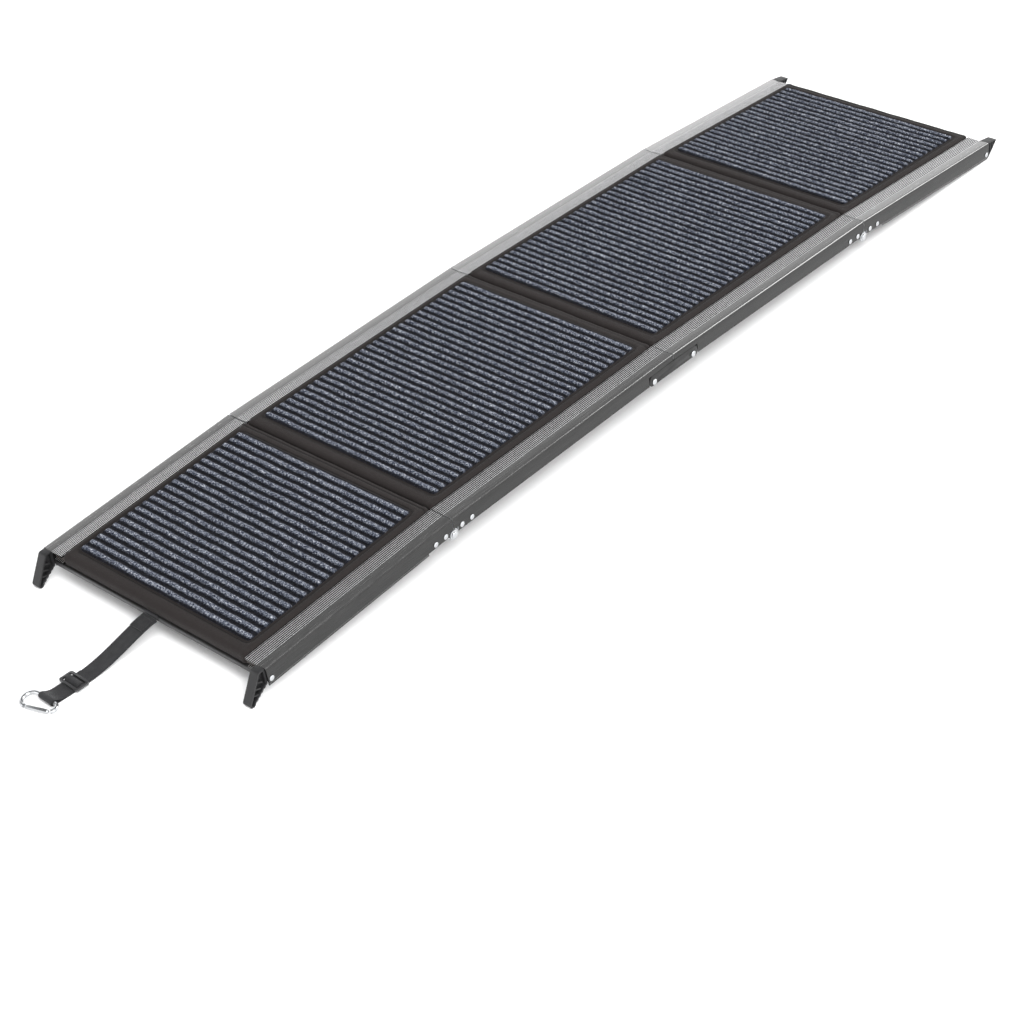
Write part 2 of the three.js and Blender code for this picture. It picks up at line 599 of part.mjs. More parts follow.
// single webbing, doubled where it is sewn at the bar and again behind the slider
function webbing() {
  const half = (x) => {
    if (x < STITCHED_LENGTH) return WEBBING;
    return x > SLIDER_MIDDLE ? WEBBING * TAIL_SHARE : WEBBING / 2;
  };
  const edge = (way) => STRAP_ROUTE.map(([x], i) => offsetLine(STRAP_ROUTE, way * half(x))[i]);
  const loop = arc(...LOOP_MIDDLE, LOOP_RADIUS, ...LOOP_ARC, 12);
  const shape = outline([...edge(-1), ...loop, ...edge(1).reverse()]);
  shape.holes.push(roundHole(...LOOP_MIDDLE, LOOP_HOLE));
  return crosswise(shape, -STRAP_WIDTH / 2, STRAP_WIDTH / 2);
}

function slider() {
  const low = 2 * WEBBING + 2 * FIT;
  const halfWidth = SLIDER_WIDTH / 2;
  const halfLength = SLIDER_LENGTH / 2;
  const shape = roundedRectangle(-halfLength, halfLength, -halfWidth, halfWidth, SLIDER_RADIUS);
  for (const way of [-1, 1]) {
    const slot = [way * SLIDER_BAR / 2, way * (halfLength - SLIDER_BAR)].sort((a, b) => a - b);
    const reach = halfWidth - SLIDER_BAR;
    shape.holes.push(roundedRectangle(...slot, -reach, reach, SLOT_RADIUS));
  }
  return upright(shape, low, low + SLIDER_THICKNESS).translate(SLIDER_MIDDLE, 0, 0);
}

// Hook coordinates: y along the hook with the wide end at +y, x from the spine to the gate.
const HOOK_TAPER = Math.asin((HOOK_BIG_RADIUS - HOOK_SMALL_RADIUS) / HOOK_SPAN);
const HOOK_BIG = new THREE.Vector2(0, HOOK_SPAN / 2);
const HOOK_SMALL = new THREE.Vector2(0, -HOOK_SPAN / 2);
const SPINE_OFFSET = (HOOK_BIG_RADIUS + HOOK_SMALL_RADIUS) / 2;
const tangentPoint = (centre, radius) => new THREE.Vector3(
  centre.x + radius * Math.cos(HOOK_TAPER), centre.y - radius * Math.sin(HOOK_TAPER), 0);
const GATE_TOP = tangentPoint(HOOK_BIG, HOOK_BIG_RADIUS);
const GATE_PIVOT = tangentPoint(HOOK_SMALL, HOOK_SMALL_RADIUS);

function hookBody() {
  const taper = THREE.MathUtils.radToDeg(HOOK_TAPER);
  const points = [
    ...arc(...HOOK_BIG, HOOK_BIG_RADIUS, HOOK_MOUTH - taper, 180 + taper, 14),
    ...arc(...HOOK_SMALL, HOOK_SMALL_RADIUS, 180 + taper, HOOK_EAR - taper, 12),
  ].map(([x, y]) => new THREE.Vector3(x, y, 0));
  const path = new THREE.CatmullRomCurve3(points, false, 'centripetal');
  const section = outline(arc(0, 0, HOOK_WIRE, 0, 360, 10).slice(1));
  return new THREE.ExtrudeGeometry(section,
    { steps: HOOK_STEPS, bevelEnabled: false, extrudePath: path });
}

function hookGate() {
  const along = new THREE.Vector3().subVectors(GATE_TOP, GATE_PIVOT);
  const length = along.length() - HOOK_WIRE - GATE_GAP;
  const geometry = new THREE.CapsuleGeometry(GATE_RADIUS, length - GATE_RADIUS - GATE_GAP, 3, 10);
  geometry.rotateZ(Math.atan2(along.y, along.x) - Math.PI / 2);
  const middle = new THREE.Vector3().lerpVectors(GATE_PIVOT, GATE_TOP, GATE_MIDDLE);
  return geometry.translate(middle.x, middle.y, 0);
}

// ---------------------------------------------------------------- assembly
function frameAt(parent, x, z, pitch = 0) {
  const group = new THREE.Group();
  group.position.set(x, 0, z);
  group.rotation.y = radians(pitch);
  parent.add(group);
  return group;
}

const ramp = new THREE.Group();

for (const [word, side] of [['left', 1], ['right', -1]]) {
  ramp.add(piece(`link_bracket_${word}`, linkBracket(side), 'link'));
  ramp.add(piece(`link_screw_2_${word}`, linkScrew(side, -1), 'zinc'));
  ramp.add(piece(`link_screw_3_${word}`, linkScrew(side, 1), 'zinc'));
}
ramp.add(piece('handle_bar', handleBar(), 'link'));
ramp.add(piece('handle_grip', handleGrip(), 'foam'));

// each half is built outwards along its own +x; the strap half is then turned round
function addHalf(strapEnd, inner, outer) {
  const half = new THREE.Group();
  half.rotation.z = strapEnd ? Math.PI : 0;
  ramp.add(half);
  const linkPivot = frameAt(half, LINK_PIVOT_REACH, -LINK_PIVOT_DROP, LINK_CAMBER);
  const innerFrame = frameAt(linkPivot, -LINK_PIVOT_REACH, LINK_PIVOT_DROP);
  const hingePivot = frameAt(innerFrame, INNER_LENGTH, -HINGE_PIVOT_DROP, HINGE_CAMBER);
  const outerFrame = frameAt(hingePivot, 0, HINGE_PIVOT_DROP);
  const innerHinge = frameAt(innerFrame, INNER_LENGTH, -HINGE_PIVOT_DROP);

  for (const [word, world] of [['left', 1], ['right', -1]]) {
    const side = strapEnd ? -world : world;
    innerFrame.add(piece(`rail_${inner}_${word}`, innerRail(side), 'rail'));
    innerFrame.add(piece(`pivot_block_${inner}_${word}`, pivotBlock(side), 'plastic'));
    innerHinge.add(piece(`hinge_leaf_${inner}_${word}`, leaf(side, -1), 'zinc'));
    innerHinge.add(piece(`hinge_pin_${inner}_${word}`, hingePin(side), 'zinc'));
    outerFrame.add(piece(`rail_${outer}_${word}`, outerRail(side), 'rail'));
    hingePivot.add(piece(`hinge_leaf_${outer}_${word}`, leaf(side, 1), 'zinc'));
    outerFrame.add(strapEnd
      ? piece(`foot_${word}`, foot(side), 'plastic')
      : piece(`lip_${word}`, lip(side), 'plastic'));
    outerFrame.add(piece(`cap_rivet_${outer}_${word}`, capRivet(side), 'zinc'));
  }
  const decks = [[innerFrame, inner, INNER_LENGTH], [outerFrame, outer, OUTER_LENGTH]];
  for (const [frame, number, length] of decks) {
    frame.add(piece(`deck_board_${number}`, board(length), 'board'));
    frame.add(piece(`deck_cover_${number}`, cover(length), 'fabric'));
    frame.add(piece(`carpet_${number}`, carpet(length), 'carpet'));
  }
  outerFrame.add(piece(strapEnd ? 'near_bar' : 'far_bar', crossBar(), 'rail'));
  return outerFrame;
}

const nearFrame = addHalf(true, 2, 1);
const farFrame = addHalf(false, 3, 4);
nearFrame.add(piece('strap_anchor', strapAnchor(-STRAP_OFFSET), 'webbing'));

// lean the ramp so that the feet and the lips reach the floor together, then set it down
ramp.updateMatrixWorld(true);
const toe = nearFrame.localToWorld(
  new THREE.Vector3(OUTER_LENGTH + FOOT_REACH - TOE_RADIUS, 0, -FOOT_DROP));
const heel = farFrame.localToWorld(new THREE.Vector3(OUTER_LENGTH + LIP_HEEL, 0, -LIP_DROP));
ramp.rotation.y = Math.atan2(heel.z - toe.z, heel.x - toe.x);
ramp.updateMatrixWorld(true);
const resting = new THREE.Box3().setFromObject(ramp, true);
ramp.position.set(-(resting.min.x + resting.max.x) / 2, 0, -resting.min.z);
ramp.updateMatrixWorld(true);

// the strap lies out in front of the bar, on the floor
const railEnd = nearFrame.localToWorld(new THREE.Vector3(OUTER_LENGTH, 0, CROSS_BAR_TOP));
const strapFrame = new THREE.Group();
strapFrame.position.set(railEnd.x, STRAP_OFFSET, 0);
strapFrame.rotation.z = Math.PI - radians(STRAP_TURN);
strapFrame.add(piece('strap', webbing(), 'webbing'));
strapFrame.add(piece('slider', slider(), 'plastic'));

// the hook lies across the end loop with its spine through it, the gate on the far side
const hookFrame = frameAt(strapFrame, ...LOOP_MIDDLE, HOOK_TILT);
const hookTurn = frameAt(hookFrame, SPINE_OFFSET, 0);
hookTurn.rotation.set(Math.PI, 0, -HOOK_TAPER);
hookTurn.add(piece('snap_hook', hookBody(), 'zinc'));
hookTurn.add(piece('snap_hook_gate', hookGate(), 'zinc'));

const dogRamp = new THREE.Group();
dogRamp.add(ramp, strapFrame);

export default dogRamp;
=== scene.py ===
"""Looks of the folding dog ramp: ribbed carpets, fabric covers, webbing strap with its snap
hook, and refined metal and plastic pieces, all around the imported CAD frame."""

import math

import bmesh
import bpy
import numpy as np
from mathutils import Matrix, Vector, noise


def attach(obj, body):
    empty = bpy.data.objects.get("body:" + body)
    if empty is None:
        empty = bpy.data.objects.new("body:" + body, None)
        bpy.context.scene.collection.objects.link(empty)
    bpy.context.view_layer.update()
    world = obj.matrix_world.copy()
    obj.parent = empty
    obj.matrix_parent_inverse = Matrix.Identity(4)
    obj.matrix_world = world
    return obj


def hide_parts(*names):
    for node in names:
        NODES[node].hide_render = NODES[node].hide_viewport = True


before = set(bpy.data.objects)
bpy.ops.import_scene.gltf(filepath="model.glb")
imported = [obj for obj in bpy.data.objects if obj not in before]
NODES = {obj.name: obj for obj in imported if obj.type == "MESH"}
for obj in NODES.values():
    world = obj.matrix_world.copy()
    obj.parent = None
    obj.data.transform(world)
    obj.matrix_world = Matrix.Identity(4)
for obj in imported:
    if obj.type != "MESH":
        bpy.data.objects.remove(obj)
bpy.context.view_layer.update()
MM = 0.001

# ------------------------------------------------------------------ the ramp's own sizes, mm
# Along a section: out from its inner seam. Across: from the ramp's middle. Up: from the rail's top.
INNER_LENGTH = 422
OUTER_LENGTH = 314
LENGTHS = {1: OUTER_LENGTH, 2: INNER_LENGTH, 3: INNER_LENGTH, 4: OUTER_LENGTH}
TREAD_EDGE = 165
BAND_EDGE = 184
GROOVES = 7
COVER_END = 0.8
COVER_HALF_WIDTH = 163.5
COVER_TOP = 3.0
COVER_BOTTOM = -12.4
BOARD_END = 2.3
BOARD_TOP = -2.6
BOARD_BOTTOM = -11.1
CARPET_END = 19.5
CARPET_HALF_WIDTH = 151.5
CARPET_BASE = 3.3
CARPET_TOP = 6.2
CARPET_CORNER = 5.0
RIB_PITCH = 12.5
STRAP_WIDTH = 25
WEBBING = 1.3
STRAP_TURN = 2.4  # degrees
STRAP_OFFSET = 3
DOUBLED_LENGTH = 30
BAR_TOP = -14.4
MOULDING_SIDES = (184.6, 197.4)
MOULDING_WALL = 1.2
MOULDING_RIB = 1.7
PLUG = [(-21.5, -20.5), (-21.5, -4.2), (0.8, -4.2), (0.8, -20.5)]

# Side view of the webbing: (out from the rail end, height above the floor).
STRAP_ROUTE = [
    (2.2, 22.6), (6, 22.3), (14, 21.0), (24, 18.8), (36, 15.7), (48, 12.3), (60, 9.0), (72, 6.1),
    (84, 3.8), (95, 2.2), (105, 1.4), (115, 0.9), (128, 0.75), (138, 0.75), (148, 0.95),
]
LOOP_MIDDLE = (160, 4.8)
LOOP_RADIUS = 3.75
TAIL_ROUTE = [
    (148, 3.1), (139, 2.35), (131, 2.3), (127.2, 2.6), (125.3, 3.7), (124.2, 5.4), (122.9, 6.7),
    (121, 7.1), (119.1, 6.7), (117.8, 5.4), (116.7, 3.7), (114.8, 2.6), (109, 2.3), (103, 2.6),
]


# ------------------------------------------------------------------ camera, light and looks
CAMERA_PLACE = (-2.0077, -1.9548, 1.8038)
CAMERA_TURN = (-43.895, 36.432, -7.079)  # azimuth, elevation and roll, degrees
CAMERA_LENS = 86.14
LIGHTS = [  # name, place, size, watts
    ("key", (-1.4, -3.2, 3.0), (2.6, 2.2), 150),
    ("side", (3.2, -1.6, 2.4), (2.2, 2.0), 90),
    ("top", (-1.0, -1.4, 4.2), (3.0, 2.4), 120),
]
SKY = [(0.0, 1.0), (0.38, 1.0), (0.5, 0.42), (0.6, 0.14), (0.72, 0.08), (1.0, 0.16)]
SKY_STRENGTH = 2.4
FLOOR_REACH = 60.0

# Edges sharper than these angles, in degrees, are shaded as edges.
SHARP_ANGLE = 30
SOFT_SHARP_ANGLE = 40
MOULDED_SHARP_ANGLE = 35


# ------------------------------------------------------------------ places on the ramp
def section_matrix(number):
    """Section coordinates to world. They are in mm: x out from the inner seam, y across, z up
    from the rail's top."""
    out = -1 if number < 3 else 1
    mesh = NODES[f"carpet_{number}"].data
    points = np.array([v.co[:] for v in mesh.vertices])
    top = max((f for f in mesh.polygons if f.normal.z > 0.5), key=lambda f: f.area)
    ez = np.array(top.normal)
    ey = np.array([0.0, out, 0.0])
    ex = np.cross(ey, ez)
    start = (points @ ex).min() - CARPET_END * MM
    level = (points @ ez).max() - CARPET_TOP * MM
    origin = ex * start + ez * level
    matrix = Matrix.Identity(4)
    for column, axis in enumerate((ex, ey, ez)):
        for row in range(3):
            matrix[row][column] = axis[row] * MM
    matrix.translation = Vector(origin)
    return matrix


SECTION = {number: section_matrix(number) for number in LENGTHS}
BODY = {number: f"section_{number}" for number in LENGTHS}


def strap_matrix():
    """Strap coordinates to world. They are in mm: x out from the rail end, y across, z up from
    the floor."""
    end = SECTION[1] @ Vector((OUTER_LENGTH, 0, BAR_TOP))
    turn = Matrix.Rotation(math.pi - math.radians(STRAP_TURN), 4, "Z")
    place = Matrix.Translation((end.x, STRAP_OFFSET * MM, 0))
    return place @ turn @ Matrix.Scale(MM, 4)


STRAP = strap_matrix()


# ------------------------------------------------------------------ camera, floor and light
def linked(name, data):
    """A new object of this data, in the scene."""
    made = bpy.data.objects.new(name, data)
    bpy.context.collection.objects.link(made)
    return made


def add_camera():
    azimuth, elevation, roll = (math.radians(a) for a in CAMERA_TURN)
    back = Vector((math.sin(azimuth) * math.cos(elevation),
                   -math.cos(azimuth) * math.cos(elevation),
                   math.sin(elevation)))
    right = (-back).cross(Vector((0, 0, 1))).normalized()
    up = right.cross(-back)
    rolled_right = right * math.cos(roll) + up * math.sin(roll)
    rolled_up = -right * math.sin(roll) + up * math.cos(roll)
    data = bpy.data.cameras.new("camera")
    data.sensor_width = 36
    data.lens = CAMERA_LENS
    data.clip_end = 50
    camera = linked("camera", data)
    turn = Matrix((rolled_right, rolled_up, back)).transposed()
    camera.matrix_world = Matrix.Translation(CAMERA_PLACE) @ turn.to_4x4()
    bpy.context.scene.camera = camera


def add_light(name, place, size, power):
    """A white area light that faces the ramp's middle."""
    data = bpy.data.lights.new(name, "AREA")
    data.shape = "RECTANGLE"
    data.size, data.size_y = size
    data.energy = power
    lamp = linked(name, data)
    lamp.location = place
    lamp.rotation_euler = (-Vector(place)).to_track_quat("-Z", "Y").to_euler()


def set_stops(colour_ramp, stops):
    """Fill a colour ramp with (place, colour)."""
    elements = colour_ramp.elements
    while len(elements) < len(stops):
        elements.new(0.5)
    for element, (place, colour) in zip(elements, stops):
        element.position = place
        element.color = (*colour, 1)


def add_world():
    """A studio sky, bright below and above the horizon, dark higher up."""
    world = bpy.data.worlds.new("studio")
    bpy.context.scene.world = world
    world.use_nodes = True
    nodes, links = world.node_tree.nodes, world.node_tree.links
    background = nodes["Background"]
    coords = nodes.new("ShaderNodeTexCoord")
    split = nodes.new("ShaderNodeSeparateXYZ")
    ramp = nodes.new("ShaderNodeValToRGB")
    links.new(coords.outputs["Generated"], split.inputs[0])
    links.new(split.outputs["Z"], ramp.inputs[0])
    links.new(ramp.outputs[0], background.inputs["Color"])
    set_stops(ramp.color_ramp, [(place, (level, level, level * 1.01)) for place, level in SKY])
    background.inputs["Strength"].default_value = SKY_STRENGTH


def add_floor():
    mesh = bpy.data.meshes.new("floor")
    corners = [(x * FLOOR_REACH, y * FLOOR_REACH, 0)
               for x, y in ((-1, -1), (1, -1), (1, 1), (-1, 1))]
    mesh.from_pydata(corners, [], [(0, 1, 2, 3)])
    floor = linked("floor", mesh)
    mesh.materials.append(MATERIAL["floor"])


# ------------------------------------------------------------------ materials
def shader(name, colour, roughness, metallic=0.0, **sockets):
    """A Principled material, its node tree and its Principled node. sockets are more inputs of
    that node, with _ for a space."""
    material = bpy.data.materials.new(name)
    material.use_nodes = True
    tree = material.node_tree
    base = tree.nodes["Principled BSDF"]
    base.inputs["Base Color"].default_value = (*colour, 1)
    base.inputs["Roughness"].default_value = roughness
    base.inputs["Metallic"].default_value = metallic
    for socket, value in sockets.items():
        base.inputs[socket.replace("_", " ")].default_value = value
    return material, tree, base


class Graph:
    """Short names for adding nodes to one material."""

    def __init__(self, tree, base):
        self.tree, self.base = tree, base
        self.coords = tree.nodes.new("ShaderNodeTexCoord").outputs["Object"]

    def node(self, kind, *inputs, **settings):
        node = self.tree.nodes.new("ShaderNode" + kind)
        for key, value in settings.items():
            setattr(node, key, value)
        for index, value in enumerate(inputs):
            if isinstance(value, bpy.types.NodeSocket):
                self.tree.links.new(value, node.inputs[index])
            else:
                node.inputs[index].default_value = value
        return node

    def math(self, operation, *inputs):
        return self.node("Math", *inputs, operation=operation).outputs[0]

    def noise(self, scale, detail=2.0, stretch=(1, 1, 1), rough=0.5):
        """Noise in object space, 0.3 to 0.7 for the most part."""
        moved = self.node("Mapping", self.coords).outputs[0]
        moved.node.inputs["Scale"].default_value = stretch
        made = self.node("TexNoise", moved)
        made.inputs["Scale"].default_value = scale
        made.inputs["Detail"].default_value = detail
        made.inputs["Roughness"].default_value = rough
        return made.outputs[0]

    def ramp(self, value, stops):
        """stops are (place, colour)."""
        node = self.node("ValToRGB", value)
        set_stops(node.color_ramp, stops)
        return node.outputs[0]

    def levels(self, value, low, high, to_low=0.0, to_high=1.0):
        """low to high becomes to_low to to_high, and stays inside them."""
        node = self.node("MapRange", value, low, high, to_low, to_high)
        return node.outputs[0]

    def mix(self, factor, first, second):
        """A mix of two colours, each a tuple or a socket. The factor is a socket."""
        node = self.tree.nodes.new("ShaderNodeMix")
        node.data_type = "RGBA"
        for index, value in ((0, factor), (6, first), (7, second)):
            socket = node.inputs[index]
            if isinstance(value, bpy.types.NodeSocket):
                self.tree.links.new(value, socket)
            else:
                socket.default_value = (*value, 1)
        return node.outputs[2]

    def attribute(self, name):
        return self.node("Attribute", attribute_name=name).outputs["Fac"]

    def set(self, socket, value):
        self.tree.links.new(value, self.base.inputs[socket])

    def bump(self, height, strength, distance):
        node = self.tree.nodes.new("ShaderNodeBump")
        node.inputs["Strength"].default_value = strength
        node.inputs["Distance"].default_value = distance
        self.tree.links.new(height, node.inputs["Height"])
        self.set("Normal", node.outputs[0])


def grey(level):
    return (level, level, level * 0.99)


def scaled(colour, factor):
    return tuple(c * factor for c in colour)


def rail_metal():
    """Dark satin anodised extrusion, drawn lengthwise, with a painted highlight in silver on the
    tread's crests and painted light on its upward faces, lighter than the sides.
    """
    material, tree, base = shader("rail_metal", grey(0.04), 0.4, 0.9)
    g = Graph(tree, base)
    split = g.node("SeparateXYZ", g.coords)
    across = g.math("ABSOLUTE", split.outputs[1])
    pitch = (BAND_EDGE - TREAD_EDGE) / GROOVES * MM
    phase = g.math("FRACT", g.math("DIVIDE", g.math("SUBTRACT", BAND_EDGE * MM, across), pitch))
    # The crest mask places a painted highlight on each rib's rounded crest, where light from above
    # catches it.
    crest = g.levels(g.math("ABSOLUTE", g.math("SUBTRACT", phase, 0.5)), 0.34, 0.4)
    tread = g.math("MULTIPLY", g.levels(across, (BAND_EDGE + 0.3) * MM, BAND_EDGE * MM),
                   g.levels(across, (TREAD_EDGE - 0.2) * MM, TREAD_EDGE * MM))
    # up and top pick the upward faces: the colours below paint them lighter than the dark sides, as
    # painted light from above, not a different finish.
    up = g.node("SeparateXYZ", g.node("NewGeometry").outputs["Normal"]).outputs[2]
    top = g.levels(up, 0.6, 0.9)
    crest = g.math("MULTIPLY", g.math("MULTIPLY", crest, tread), top)
    drawn = g.noise(900, 3, (0.03, 1, 1))
    patches = g.noise(14, 2, (0.5, 1, 1))
    side = g.mix(g.levels(drawn, 0.3, 0.7), grey(0.032), grey(0.05))
    flat = g.mix(g.levels(drawn, 0.3, 0.7), grey(0.18), grey(0.24))
    body = g.mix(g.levels(patches, 0.3, 0.7, 0.0, 0.6), g.mix(top, side, flat),
                 g.mix(top, grey(0.04), grey(0.2)))
    # Painted highlight: a bright silver colour on the crests of the tread's upward faces.
    g.set("Base Color", g.mix(crest, body, (0.8, 0.8, 0.81)))
    g.set("Roughness", g.math("ADD", g.levels(drawn, 0.3, 0.7, 0.2, 0.28),
                              g.math("MULTIPLY", crest, 0.2)))
    g.bump(drawn, 0.12, 0.0001)
    return material


def metal(name, colour, roughness, scale, spread=0.12, metallic=0.95):
    """Plated or painted metal with small variations in tone and gloss."""
    material, tree, base = shader(name, colour, roughness, metallic)
    g = Graph(tree, base)
    fine = g.noise(scale, 4)
    cloud = g.noise(scale / 12, 2)
    darker = scaled(colour, 1 - 2 * spread)
    g.set("Base Color", g.mix(g.levels(cloud, 0.3, 0.7), darker, colour))
    g.set("Roughness", g.levels(fine, 0.3, 0.7, roughness * 0.8, roughness * 1.25))
    g.bump(fine, 0.2, 0.0001)
    return material


def plastic(name, colour, roughness, gloss=0.3):
    """Moulded plastic with a fine spark-eroded texture."""
    material, tree, base = shader(name, colour, roughness, 0.0, Specular_IOR_Level=gloss)
    g = Graph(tree, base)
    grain = g.noise(1800, 2)
    cloud = g.noise(60, 2)
    g.set("Base Color", g.mix(g.levels(cloud, 0.3, 0.7), colour, scaled(colour, 1.35)))
    g.set("Roughness", g.levels(grain, 0.3, 0.7, roughness - 0.08, roughness + 0.1))
    g.bump(grain, 0.35, 0.00012)
    return material


def carpet_felt():
    """Ribbed needle felt, blue-grey melange, with painted shade down in the grooves."""
    material, tree, base = shader("carpet_felt", (0.1, 0.12, 0.16), 0.95, Sheen_Weight=0.04,
                                  Sheen_Roughness=0.5, Specular_IOR_Level=0.06)
    g = Graph(tree, base)
    height = g.attribute("rib")
    fibre = g.noise(520, 4, (1.0, 0.7, 1.0), 0.75)
    speck = g.noise(900, 2, (1.0, 0.7, 1.0), 0.6)
    cloud = g.noise(70, 3)
    crest = g.ramp(fibre, [(0.4, (0.012, 0.014, 0.021)), (0.46, (0.052, 0.06, 0.082)),
                           (0.53, (0.165, 0.182, 0.222)), (0.6, (0.38, 0.4, 0.445)),
                           (0.68, (0.68, 0.7, 0.73))])
    crest = g.mix(g.levels(speck, 0.53, 0.6), crest, (0.02, 0.024, 0.038))
    crest = g.mix(g.levels(cloud, 0.3, 0.7, 0.0, 0.25), crest, (0.035, 0.042, 0.065))
    # Painted shade: a near-black colour for the felt down in the grooves.
    painted_groove_shade = g.mix(g.levels(fibre, 0.45, 0.65), (0.001, 0.001, 0.002), (0.008, 0.009, 0.014))
    fuzzy = g.math("ADD", height, g.levels(speck, 0.3, 0.7, -0.3, 0.3))
    # The rib height picks painted groove shade where the felt is low and the felt's own colour on
    # the crests.
    g.set("Base Color", g.mix(g.levels(fuzzy, 0.22, 0.85), painted_groove_shade, crest))
    g.bump(g.math("ADD", fibre, g.math("MULTIPLY", speck, 0.6)), 0.9, 0.0012)
    return material


def weave(name, colour, thread, sheen, seam=False):
    """Plain woven cloth: crossing threads, thread mm apart, a soft nap, and with seam a darker
    line in its seams."""
    material, tree, base = shader(name, colour, 0.85, Sheen_Weight=sheen, Sheen_Roughness=0.6,
                                  Specular_IOR_Level=0.16)
    g = Graph(tree, base)
    split = g.node("SeparateXYZ", g.coords)
    turn = math.tau / (thread * MM)
    warp = g.math("SINE", g.math("MULTIPLY", split.outputs[0], turn))
    weft = g.math("SINE", g.math("MULTIPLY", split.outputs[1], turn))
    cloth = g.math("MULTIPLY", warp, weft)
    cloud = g.noise(45, 3)
    fibre = g.noise(1500, 2)
    tone = g.mix(g.levels(cloth, -1, 1), scaled(colour, 0.62), scaled(colour, 1.3))
    tone = g.mix(g.levels(cloud, 0.3, 0.7, 0.0, 0.5), tone, colour)
    if seam:
        tone = g.mix(g.attribute("seam"), tone, scaled(colour, 0.15))
    g.set("Base Color", tone)
    g.set("Roughness", g.levels(fibre, 0.3, 0.7, 0.75, 0.95))
    g.bump(g.math("ADD", cloth, fibre), 0.5, 0.00018)
    return material


def ribbon_weave(name, colour):
    """Nylon webbing: cross ribs 1.1 mm apart, crossed by threads 1.5 mm apart."""
    material, tree, base = shader(name, colour, 0.6, Sheen_Weight=0.05, Specular_IOR_Level=0.2)
    g = Graph(tree, base)
    along, across = g.attribute("along"), g.attribute("across")
    rib_pitch, thread_pitch = 1.1, 1.5
    rib = g.math("SINE", g.math("MULTIPLY", along, math.tau / rib_pitch))
    thread = g.math("SINE", g.math("MULTIPLY", across, math.tau / thread_pitch))
    cloth = g.math("ADD", rib, g.math("MULTIPLY", g.math("MULTIPLY", rib, thread), 0.7))
    cloud = g.noise(110, 3)
    tone = g.mix(g.levels(cloth, -1.7, 1.7), scaled(colour, 0.6), scaled(colour, 1.9))
    tone = g.mix(g.levels(cloud, 0.3, 0.7, 0.0, 0.4), tone, colour)
    g.set("Base Color", tone)
    g.set("Roughness", g.levels(cloud, 0.3, 0.7, 0.5, 0.7))
    g.bump(cloth, 0.6, 0.0002)
    return material


def foam(name, colour):
    """Closed-cell foam: fine cells and a soft nap."""
    material, tree, base = shader(name, colour, 0.9)
    g = Graph(tree, base)
    cells = g.noise(900, 3, rough=0.7)
    cloud = g.noise(60, 2)
    g.set("Base Color", g.mix(g.levels(cells, 0.35, 0.65), scaled(colour, 0.5),
                              scaled(colour, 1.5)))
    g.set("Roughness", g.levels(cloud, 0.3, 0.7, 0.8, 0.95))
    g.bump(cells, 0.7, 0.0004)
    return material


def wood_board():
    """The deck board: dark brown pressed board with fine layers."""
    material, tree, base = shader("board_fibre", (0.03, 0.025, 0.022), 0.8)
    g = Graph(tree, base)
    layers = g.noise(500, 3, (0.05, 0.05, 1))
    g.set("Base Color", g.mix(g.levels(layers, 0.3, 0.7), (0.02, 0.017, 0.015),
                              (0.05, 0.042, 0.036)))
    g.bump(layers, 0.4, 0.0003)
    return material


def floor_paint():
    """White, with faint clouds."""
    material, tree, base = shader("floor_white", (0.93, 0.93, 0.93), 0.7)
    g = Graph(tree, base)
    cloud = g.noise(3, 2)
    g.set("Base Color", g.mix(g.levels(cloud, 0.3, 0.7), (0.92, 0.92, 0.92), (0.94, 0.94, 0.94)))
    return material


MATERIAL = {
    "rail": rail_metal(),
    "bare": metal("bare_aluminium", (0.72, 0.73, 0.74), 0.35, 300),
    "link": metal("link_paint", (0.042, 0.042, 0.042), 0.42, 700, 0.15, 0.85),
    "zinc": metal("zinc_plate", (0.46, 0.47, 0.48), 0.2, 500, 0.05),
    "bar": metal("bar_paint", (0.05, 0.05, 0.05), 0.45, 600, 0.12, 0.6),
    "plastic": plastic("moulded_black", (0.011, 0.011, 0.0115), 0.5),
    "slider": plastic("slider_black", (0.02, 0.02, 0.021), 0.3, 0.6),
    "carpet": carpet_felt(),
    "cover": weave("cover_cloth", (0.0125, 0.0097, 0.0092), 0.9, 0.03, True),
    "webbing": ribbon_weave("webbing_nylon", (0.015, 0.015, 0.016)),
    "thread": weave("stitch_thread", (0.035, 0.035, 0.035), 0.4, 0.1),
    "grip": foam("grip_foam", (0.012, 0.012, 0.012)),
    "board": wood_board(),
    "floor": floor_paint(),
}


# ------------------------------------------------------------------ mesh helpers
def to_world(points, matrix):
    """Points of one of the matrices above, as an array in metres."""
    points = np.asarray(points, float)
    turn = np.array(matrix.to_3x3())
    return points @ turn.T + np.array(matrix.translation)


def add_piece(name, points, faces, material, body, attributes=None):
    """A piece made of points in metres. attributes are one number per point each."""
    mesh = bpy.data.meshes.new(name)
    mesh.from_pydata([tuple(p) for p in points], [], faces)
    for key, values in (attributes or {}).items():
        made = mesh.attributes.new(key, "FLOAT", "POINT")
        made.data.foreach_set("value", np.asarray(values, np.float32))
    fix = bmesh.new()
    fix.from_mesh(mesh)
    bmesh.ops.recalc_face_normals(fix, faces=fix.faces)
    fix.to_mesh(mesh)
    fix.free()
    mesh.shade_smooth()
    mesh.set_sharp_from_angle(angle=math.radians(SOFT_SHARP_ANGLE))
    piece = linked(name, mesh)
    mesh.materials.append(MATERIAL[material])
    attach(piece, body)
    return piece


